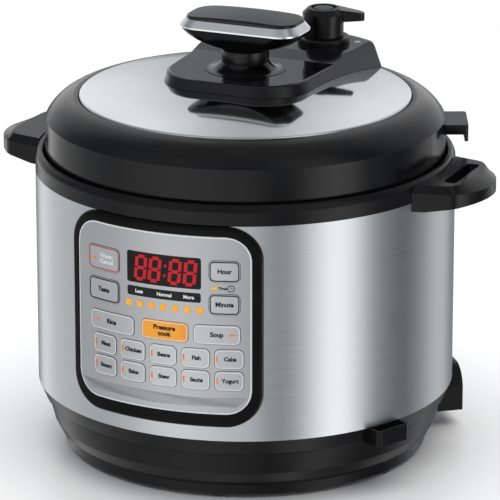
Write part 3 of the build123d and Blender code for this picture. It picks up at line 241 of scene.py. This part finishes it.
LOOKS = {
    "base_shell": "base_black",
    "bottom_cover": "base_black",
    "spoon_holder": "base_black",
    "inlet_hood": "base_black",
    "cup_bracket": "base_black",
    "body_ring": "ring_black",
    "left_handle": "ring_black",
    "right_handle": "ring_black",
    "feet": "rubber",
    "cover_screws": "zinc",
    "handle_screws": "zinc",
    "lid_screws": "zinc",
    "steel_sleeve": "sleeve",
    "outer_pot": "pan",
    "heating_plate": "pan",
    "lid_pan": "pan",
    "sensor_probe": "pan",
    "inner_pot": "pot",
    "pressure_diaphragm": "steel",
    "sensor_spring": "steel",
    "exhaust_pipe": "steel",
    "steam_filter": "steel",
    "power_board": "board",
    "control_board": "board",
    "panel_bezel": "bezel_black",
    "panel_faceplate": "silver",
    "display_window": "window",
    "indicator_lights": "light",
    "switch_membrane": "film",
    "power_inlet": "inlet_black",
    "inlet_pins": "brass",
    "condensate_cup": "clear",
    "seal_ring": "silicone",
    "lid_ring": "lid_black",
    "saddle": "saddle_black",
    "lid_dome": "mirror",
    "grip_stem": "stem_black",
    "grip_body": "grip_black",
    "grip_cap": "grip_black",
    "grip_trim": "chrome",
    "valve_collar": "valve_black",
    "valve_knob": "valve_black",
    "float_pin": "zinc",
    "key_pressure": "orange",
}
for name, node in nodes.items():
    look = LOOKS.get(name, "key_silver")
    node.data.materials.clear()
    node.data.materials.append(M[look])


def on_panel(along, up, radius):
    """Point on the curved panel from its distance round the curve and height above the middle."""
    angle = along / FACE_RADIUS
    return Vector((radius * math.sin(angle), -radius * math.cos(angle), FACE_MIDDLE + up))


def rounded_loop(width, height, corner, steps=5):
    """Points round a rounded rectangle about the origin, with its long sides divided."""
    points = []
    corners = ((1, 1, 0), (-1, 1, 90), (-1, -1, 180), (1, -1, 270))
    for side_x, side_y, start in corners:
        for i in range(steps + 1):
            angle = math.radians(start + 90 * i / steps)
            x = side_x * (width / 2 - corner) + corner * math.cos(angle)
            y = side_y * (height / 2 - corner) + corner * math.sin(angle)
            points.append((x, y))
    dense = []
    for (x0, y0), (x1, y1) in zip(points, points[1:] + points[:1]):
        parts = max(1, round(math.hypot(x1 - x0, y1 - y0) / LOOP_STEP))
        for i in range(parts):
            dense.append((x0 + (x1 - x0) * i / parts, y0 + (y1 - y0) * i / parts))
    return dense


def finish_piece(mesh, name, body, look):
    """Link a mesh as a piece that rides on a body with a material."""
    piece = bpy.data.objects.new(name, mesh)
    bpy.context.scene.collection.objects.link(piece)
    mesh.materials.append(M[look])
    for polygon in mesh.polygons:
        polygon.use_smooth = False
    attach(piece, body)
    return piece


def closed_bands(rings, closed_ends=False):
    """Mesh data joining rings of points one after another; the last joins the first."""
    count = len(rings[0])
    verts = [p for ring in rings for p in ring]
    faces = []
    pairs = len(rings) if not closed_ends else len(rings) - 1
    for r in range(pairs):
        a, b = r * count, ((r + 1) % len(rings)) * count
        for i in range(count):
            j = (i + 1) % count
            faces.append((a + i, a + j, b + j, b + i))
    return verts, faces


def outline_print(name, body, look, place, size, corner, line, lift):
    """Thin closed line round a rounded rectangle on the panel."""
    along, up = place
    width, height = size
    outer = rounded_loop(width, height, corner)
    inner = rounded_loop(width - 2 * line, height - 2 * line, max(corner - line, 0.2 * MM))
    top, low = FACE_RADIUS + lift + PRINT_DEPTH, FACE_RADIUS + lift
    rings = [
        [on_panel(along + x, up + y, top) for x, y in outer],
        [on_panel(along + x, up + y, top) for x, y in inner],
        [on_panel(along + x, up + y, low) for x, y in inner],
        [on_panel(along + x, up + y, low) for x, y in outer],
    ]
    verts, faces = closed_bands(rings)
    mesh = bpy.data.meshes.new(name)
    mesh.from_pydata(verts, [], faces)
    tidy_mesh(mesh)
    return finish_piece(mesh, name, body, look)


def tidy_mesh(mesh):
    """Make a closed mesh's faces point outwards."""
    work = bmesh.new()
    work.from_mesh(mesh)
    bmesh.ops.recalc_face_normals(work, faces=work.faces)
    work.to_mesh(mesh)
    work.free()


def strip_solid(verts, faces, centre, half, place, lift):
    """Add one flat bar of the given half sizes and slant to growing mesh lists."""
    cx, cy = centre
    columns = 4
    start = len(verts)
    for layer in (FACE_RADIUS + lift, FACE_RADIUS + lift + PRINT_DEPTH):
        for j in (-1, 1):
            for i in range(columns + 1):
                x = cx + half[0] * (2 * i / columns - 1)
                y = cy + half[1] * j
                x += half[2] * y if len(half) > 2 else 0.0
                verts.append(on_panel(place[0] + x, place[1] + y, layer))
    n = columns + 1
    for i in range(columns):
        a, b, c, d = (start + i, start + n + i, start + 2 * n + i, start + 3 * n + i)
        faces.append((a, a + 1, b + 1, b))
        faces.append((c, d, d + 1, c + 1))
        faces.append((a, c, c + 1, a + 1))
        faces.append((b, b + 1, d + 1, d))
    faces.append((start, start + n, start + 3 * n, start + 2 * n))
    e = start + columns
    faces.append((e, e + 2 * n, e + 3 * n, e + n))


def bars_print(name, body, look, place, bars, lift):
    """One piece made of several flat bars on the panel: (centre, half sizes) each."""
    verts, faces = [], []
    for centre, half in bars:
        strip_solid(verts, faces, centre, half, place, lift)
    mesh = bpy.data.meshes.new(name)
    mesh.from_pydata(verts, [], faces)
    tidy_mesh(mesh)
    return finish_piece(mesh, name, body, look)


def text_print(name, body, look, words, place, size, lift):
    """Generic function words laid on the curved panel as a thin solid."""
    curve = bpy.data.curves.new(name + "_text", "FONT")
    curve.body = words
    curve.size = size
    curve.align_x = "CENTER"
    curve.align_y = "CENTER"
    curve.space_line = LINE_SPACING
    curve.extrude = PRINT_DEPTH / 2
    curve.offset = size * LETTER_WEIGHT
    curve.resolution_u = 3
    holder = bpy.data.objects.new(name + "_text", curve)
    bpy.context.scene.collection.objects.link(holder)
    bpy.context.view_layer.update()
    evaluated = holder.evaluated_get(bpy.context.evaluated_depsgraph_get())
    mesh = bpy.data.meshes.new_from_object(evaluated)
    bpy.data.objects.remove(holder)
    mesh.materials.clear()
    for vertex in mesh.vertices:
        x, y, z = vertex.co
        vertex.co = on_panel(place[0] + x, place[1] + y, FACE_RADIUS + lift + PRINT_DEPTH / 2 + z)
    mesh.name = name
    return finish_piece(mesh, name, body, look)


KEY_LIFT = KEY_PROUD + PRINT_LIFT
LABELS = {
    "key_cancel": "Warm\nCancel",
    "key_taste": "Taste",
    "key_hour": "Hour",
    "key_minute": "Minute",
    "key_rice": "Rice",
    "key_pressure": "Pressure\ncook",
    "key_soup": "Soup",
    "key_meat": "Meat",
    "key_chicken": "Chicken",
    "key_beans": "Beans",
    "key_fish": "Fish",
    "key_cake": "Cake",
    "key_steam": "Steam",
    "key_bake": "Bake",
    "key_stew": "Stew",
    "key_saute": "Saute",
    "key_yogurt": "Yogurt",
}
DARK_KEYS = ("key_taste", "key_hour", "key_minute")

for key, words in LABELS.items():
    along, up, width, height = key_place(key)
    place = (along, up)
    corner = 2.8 * MM
    size = (width - 0.9 * MM, height - 0.9 * MM)
    if key == "key_cancel":
        outline_print(key + "_line", key, "ink_red", place, size, corner, 0.6 * MM, KEY_LIFT)
        text_print(key + "_label", key, "ink_white", words, (along + 2.6 * MM, up), 3.9 * MM, KEY_LIFT)
        mark = ((-8.2 * MM, -0.6 * MM), (2.2 * MM, 0.55 * MM))
        bars_print(key + "_mark", key, "ink_mark_painted_glow", place, [mark], KEY_LIFT)
    elif key in DARK_KEYS:
        outline_print(key + "_line", key, "ink_black", place, size, corner, 0.75 * MM, KEY_LIFT)
        text_print(key + "_label", key, "ink_black", words, place, 4.1 * MM, KEY_LIFT)
    elif key == "key_pressure":
        outline_print(key + "_line", key, "ink_white", place, size, corner, 0.5 * MM, KEY_LIFT)
        text_print(key + "_label", key, "ink_black", words, place, 4.2 * MM, KEY_LIFT)
    elif key in ("key_rice", "key_soup"):
        outline_print(key + "_line", key, "ink_white", place, size, corner, 0.5 * MM, KEY_LIFT)
        text_print(key + "_label", key, "ink_black", words, place, 4.2 * MM, KEY_LIFT)
        side = -1 if key == "key_rice" else 1
        mark = ((side * (width / 2 - 5.0 * MM), 0.0), (2.0 * MM, 0.5 * MM))
        bars_print(key + "_mark", key, "ink_mark_painted_glow", place, [mark], KEY_LIFT)
    else:
        outline_print(key + "_line", key, "ink_white", place, size, corner, 0.5 * MM, KEY_LIFT)
        text_print(key + "_label", key, "ink_black", words, (along + 0.6 * MM, up), 3.7 * MM, KEY_LIFT)
        mark = ((-width / 2 + 1.4 * MM, 0.0), (0.5 * MM, 1.9 * MM))
        bars_print(key + "_mark", key, "ink_mark_painted_glow", place, [mark], KEY_LIFT + PRINT_DEPTH)

# border of the faceplate
outline_print(
    "panel_border",
    "base",
    "ink_white",
    (0.0, 0.0),
    (FACE_WIDTH - 0.5 * MM, FACE_HEIGHT - 0.5 * MM),
    15.6 * MM,
    0.85 * MM,
    PRINT_LIFT,
)

# fine waves across the foot of the faceplate
verts, faces = [], []
WAVES = 9
for wave in range(WAVES):
    height = -FACE_HEIGHT / 2 + (5.2 + 0.72 * wave) * MM
    shrink = 9.5 * MM - 0.75 * MM * wave
    reach = FACE_WIDTH / 2 - shrink
    steps = 40
    start = len(verts)
    for i in range(steps + 1):
        x = -reach + 2 * reach * i / steps
        y = height + 0.42 * MM * math.sin(2 * math.pi * (i / steps * 1.5 + wave * 0.08))
        for dy in (-0.13 * MM, 0.13 * MM):
            verts.append(on_panel(x, y + dy, FACE_RADIUS + PRINT_LIFT))
            verts.append(on_panel(x, y + dy, FACE_RADIUS + PRINT_LIFT + PRINT_DEPTH / 2))
    for i in range(steps):
        a = start + 4 * i
        for p, q in ((0, 1), (1, 3), (3, 2), (2, 0)):
            faces.append((a + p, a + q, a + 4 + q, a + 4 + p))
    faces.append((start, start + 1, start + 3, start + 2))
    end = start + 4 * steps
    faces.append((end, end + 2, end + 3, end + 1))
mesh = bpy.data.meshes.new("panel_waves")
mesh.from_pydata(verts, [], faces)
tidy_mesh(mesh)
finish_piece(mesh, "panel_waves", "base", "ink_grey")

# ------------------------------------------------------------------ display
window_middle = middle("display_window")
window_angle = math.atan2(window_middle.x, -window_middle.y)
WINDOW = (window_angle * FACE_RADIUS, window_middle.z - FACE_MIDDLE)
DISPLAY_LIFT = 0.18 * MM


def digit_bars(centre, lean=0.10):
    """The seven bars of one 8 about a centre, slanted a little."""
    half_w, half_h, thick = 3.1 * MM, 7.5 * MM, 1.15 * MM
    bars = []
    for y in (-half_h, 0.0, half_h):
        bars.append(((centre, y), (half_w - 0.95 * MM, thick, lean)))
    for x in (-half_w, half_w):
        for y in (-half_h / 2, half_h / 2):
            bars.append(((centre + x, y), (thick, half_h / 2 - 0.5 * MM, lean)))
    return bars


digits = []
for centre in (-15.2, -5.4, 8.2, 18.2):
    digits += digit_bars(centre * MM)
for y in (-3.2, 3.2):
    digits.append(((1.6 * MM, y * MM), (0.8 * MM, 0.8 * MM, 0.1)))
bars_print("display_digits", "base", "ink_digit", WINDOW, digits, DISPLAY_LIFT)

LABEL_BAR = (WINDOW[0], WINDOW[1] - 15.9 * MM)
outer = rounded_loop(50 * MM, 6.2 * MM, 1.2 * MM, 4)
rings = [
    [on_panel(LABEL_BAR[0] + x, LABEL_BAR[1] + y, FACE_RADIUS + PRINT_LIFT) for x, y in outer],
    [on_panel(LABEL_BAR[0] + x, LABEL_BAR[1] + y, FACE_RADIUS + 2 * PRINT_LIFT) for x, y in outer],
]
verts, faces = closed_bands(rings, True)
count = len(outer)
work = bmesh.new()
ring_verts = [work.verts.new(v) for v in verts]
for face in faces:
    work.faces.new([ring_verts[i] for i in face])
half = count // 2
for layer in (0, count):
    loop = ring_verts[layer:layer + count]
    order = sorted(range(count), key=lambda i: outer[i][0])
    upper = [i for i in order if outer[i][1] > 0]
    lower = [i for i in order if outer[i][1] <= 0]
    strip = [loop[i] for i in lower] + [loop[i] for i in reversed(upper)]
    face = work.faces.new(strip)
bmesh.ops.triangulate(work, faces=[f for f in work.faces if len(f.verts) > 4])
bmesh.ops.recalc_face_normals(work, faces=work.faces)
mesh = bpy.data.meshes.new("label_bar")
work.to_mesh(mesh)
work.free()
finish_piece(mesh, "label_bar", "base", "ink_black")
for place, words in ((-16.5, "Less"), (1.0, "Normal"), (17.2, "More")):
    spot = (LABEL_BAR[0] + place * MM, LABEL_BAR[1])
    text_print("bar_label_" + words.lower(), "base", "ink_white", words, spot, 3.2 * MM, 2.4 * PRINT_LIFT)

# ------------------------------------------------------------------ timer mark beside its light
TIMER = (48.6 * MM, 25.0 * MM)
outline_print("timer_clock", "base", "ink_black", TIMER, (4.4 * MM, 4.4 * MM), 1.6 * MM, 0.5 * MM, PRINT_LIFT)
hands = [((0.0, 0.6 * MM), (0.16 * MM, 0.8 * MM)), ((0.45 * MM, 0.0), (0.6 * MM, 0.16 * MM))]
bars_print("timer_hands", "base", "ink_black", TIMER, hands, PRINT_LIFT)
text_print("timer_label", "base", "ink_black", "Timer", (43.6 * MM, 25.0 * MM), 2.4 * MM, PRINT_LIFT)

# ------------------------------------------------------------------ camera
PHOTO_SIZE = 500
FOCAL_PIXELS = 4069.0
AZIMUTH = math.radians(23.6)
ELEVATION = math.radians(16.967)
DISTANCE = 2.666
AIM_HEIGHT = 0.1631
LOOK_DOWN = 0.0328
LOOK_RIGHT = 0.0030

back = Vector(
    (
        math.sin(AZIMUTH) * math.cos(ELEVATION),
        -math.cos(AZIMUTH) * math.cos(ELEVATION),
        math.sin(ELEVATION),
    )
)
right = Vector((math.cos(AZIMUTH), math.sin(AZIMUTH), 0))
up = back.cross(right)
place = Vector((0, 0, AIM_HEIGHT)) + back * DISTANCE
aim = Vector((0, 0, AIM_HEIGHT)) - up * LOOK_DOWN + right * LOOK_RIGHT
camera_data = bpy.data.cameras.new("camera")
camera_data.sensor_width = 36.0
camera_data.lens = FOCAL_PIXELS / PHOTO_SIZE * camera_data.sensor_width
camera_data.clip_end = 20.0
camera = bpy.data.objects.new("camera", camera_data)
camera.location = place
camera.rotation_euler = (aim - place).to_track_quat("-Z", "Y").to_euler()
bpy.context.scene.collection.objects.link(camera)
bpy.context.scene.camera = camera

# ------------------------------------------------------------------ floor and light
floor_mesh = bpy.data.meshes.new("floor")
floor_mesh.from_pydata([(-8, -8, 0), (8, -8, 0), (8, 8, 0), (-8, 8, 0)], [], [(0, 1, 2, 3)])
floor = bpy.data.objects.new("floor", floor_mesh)
bpy.context.scene.collection.objects.link(floor)
floor_paint = Paint("floor_pale", (0.82, 0.82, 0.82), roughness=0.3)
floor_paint.rough(floor_paint.noise(3.0), 0.25, 0.35)
floor_mesh.materials.append(floor_paint.mat)
floor.visible_glossy = False

# Softboxes and flags of the studio as (azimuth from the front towards +X, brightness):
# those the upright walls mirror, then those the lid mirrors.
STUDIO_LOW = (
    (-180, 0.25),
    (-140, 0.14),
    (-124, 1.15),
    (-104, 0.80),
    (-60, 0.62),
    (-14, 1.15),
    (22, 0.86),
    (44, 0.32),
    (76, 1.85),
    (103, 0.34),
    (120, 0.15),
    (160, 0.80),
)
STUDIO_HIGH = (
    (-180, 0.80),
    (-168, 1.0),
    (-157, 0.46),
    (-146, 1.0),
    (-126, 0.70),
    (-90, 0.25),
    (-20, 0.50),
    (30, 0.30),
    (75, 0.75),
    (105, 0.20),
    (150, 0.60),
)
CEILING = 0.34


def studio_world():
    """Grey studio whose softboxes stand all round, with a calm ceiling above them."""
    world = bpy.data.worlds.new("studio")
    world.use_nodes = True
    tree = world.node_tree
    background = tree.nodes["Background"]

    def node(kind, **settings):
        made = tree.nodes.new(kind)
        for key, value in settings.items():
            setattr(made, key, value)
        return made

    def ring_of_lights(places, share):
        band = node("ShaderNodeValToRGB")
        band.color_ramp.interpolation = "EASE"
        stops = band.color_ramp.elements
        for _ in range(len(places) - 1):
            stops.new(0.5)
        for stop, (angle, bright) in zip(stops, [*places, (180, places[0][1])]):
            stop.position = (angle + 180) / 360
            cool = 0.035 * max(0.0, 1.0 - bright)
            stop.color = (bright * (1 - cool), bright, bright * (1 + 2.4 * cool), 1.0)
        tree.links.new(share, band.inputs["Fac"])
        return band.outputs["Color"]

    def blend(height, start, end, below, above):
        change = node("ShaderNodeMapRange", interpolation_type="SMOOTHSTEP")
        change.inputs["From Min"].default_value = start
        change.inputs["From Max"].default_value = end
        tree.links.new(height, change.inputs["Value"])
        mix = node("ShaderNodeMix", data_type="RGBA")
        tree.links.new(change.outputs["Result"], mix.inputs["Factor"])
        tree.links.new(below, mix.inputs["A"])
        tree.links.new(above, mix.inputs["B"])
        return mix.outputs["Result"]

    way = node("ShaderNodeTexCoord").outputs["Generated"]
    split = node("ShaderNodeSeparateXYZ")
    tree.links.new(way, split.inputs["Vector"])
    flip = node("ShaderNodeMath", operation="MULTIPLY")
    flip.inputs[1].default_value = -1.0
    tree.links.new(split.outputs["Y"], flip.inputs[0])
    azimuth = node("ShaderNodeMath", operation="ARCTAN2")
    tree.links.new(split.outputs["X"], azimuth.inputs[0])
    tree.links.new(flip.outputs["Value"], azimuth.inputs[1])
    share = node("ShaderNodeMapRange")
    share.inputs["From Min"].default_value = -math.pi
    share.inputs["From Max"].default_value = math.pi
    tree.links.new(azimuth.outputs["Value"], share.inputs["Value"])
    ceiling = node("ShaderNodeRGB")
    ceiling.outputs["Color"].default_value = (CEILING, CEILING, CEILING, 1.0)
    height = split.outputs["Z"]
    low = ring_of_lights(STUDIO_LOW, share.outputs["Result"])
    high = ring_of_lights(STUDIO_HIGH, share.outputs["Result"])
    walls = blend(height, -0.14, 0.02, low, high)
    everything = blend(height, 0.72, 0.95, walls, ceiling.outputs["Color"])
    tree.links.new(everything, background.inputs["Color"])
    return world


bpy.context.scene.world = studio_world()
bpy.context.scene.view_settings.view_transform = "Standard"

# Broad light from straight above, which whitens the floor and leaves a soft contact shadow.
overhead = bpy.data.lights.new("overhead", "SUN")
overhead.energy = 3.0
overhead.angle = math.radians(75)
overhead_lamp = bpy.data.objects.new("overhead", overhead)
overhead_lamp.visible_glossy = False
bpy.context.scene.collection.objects.link(overhead_lamp)
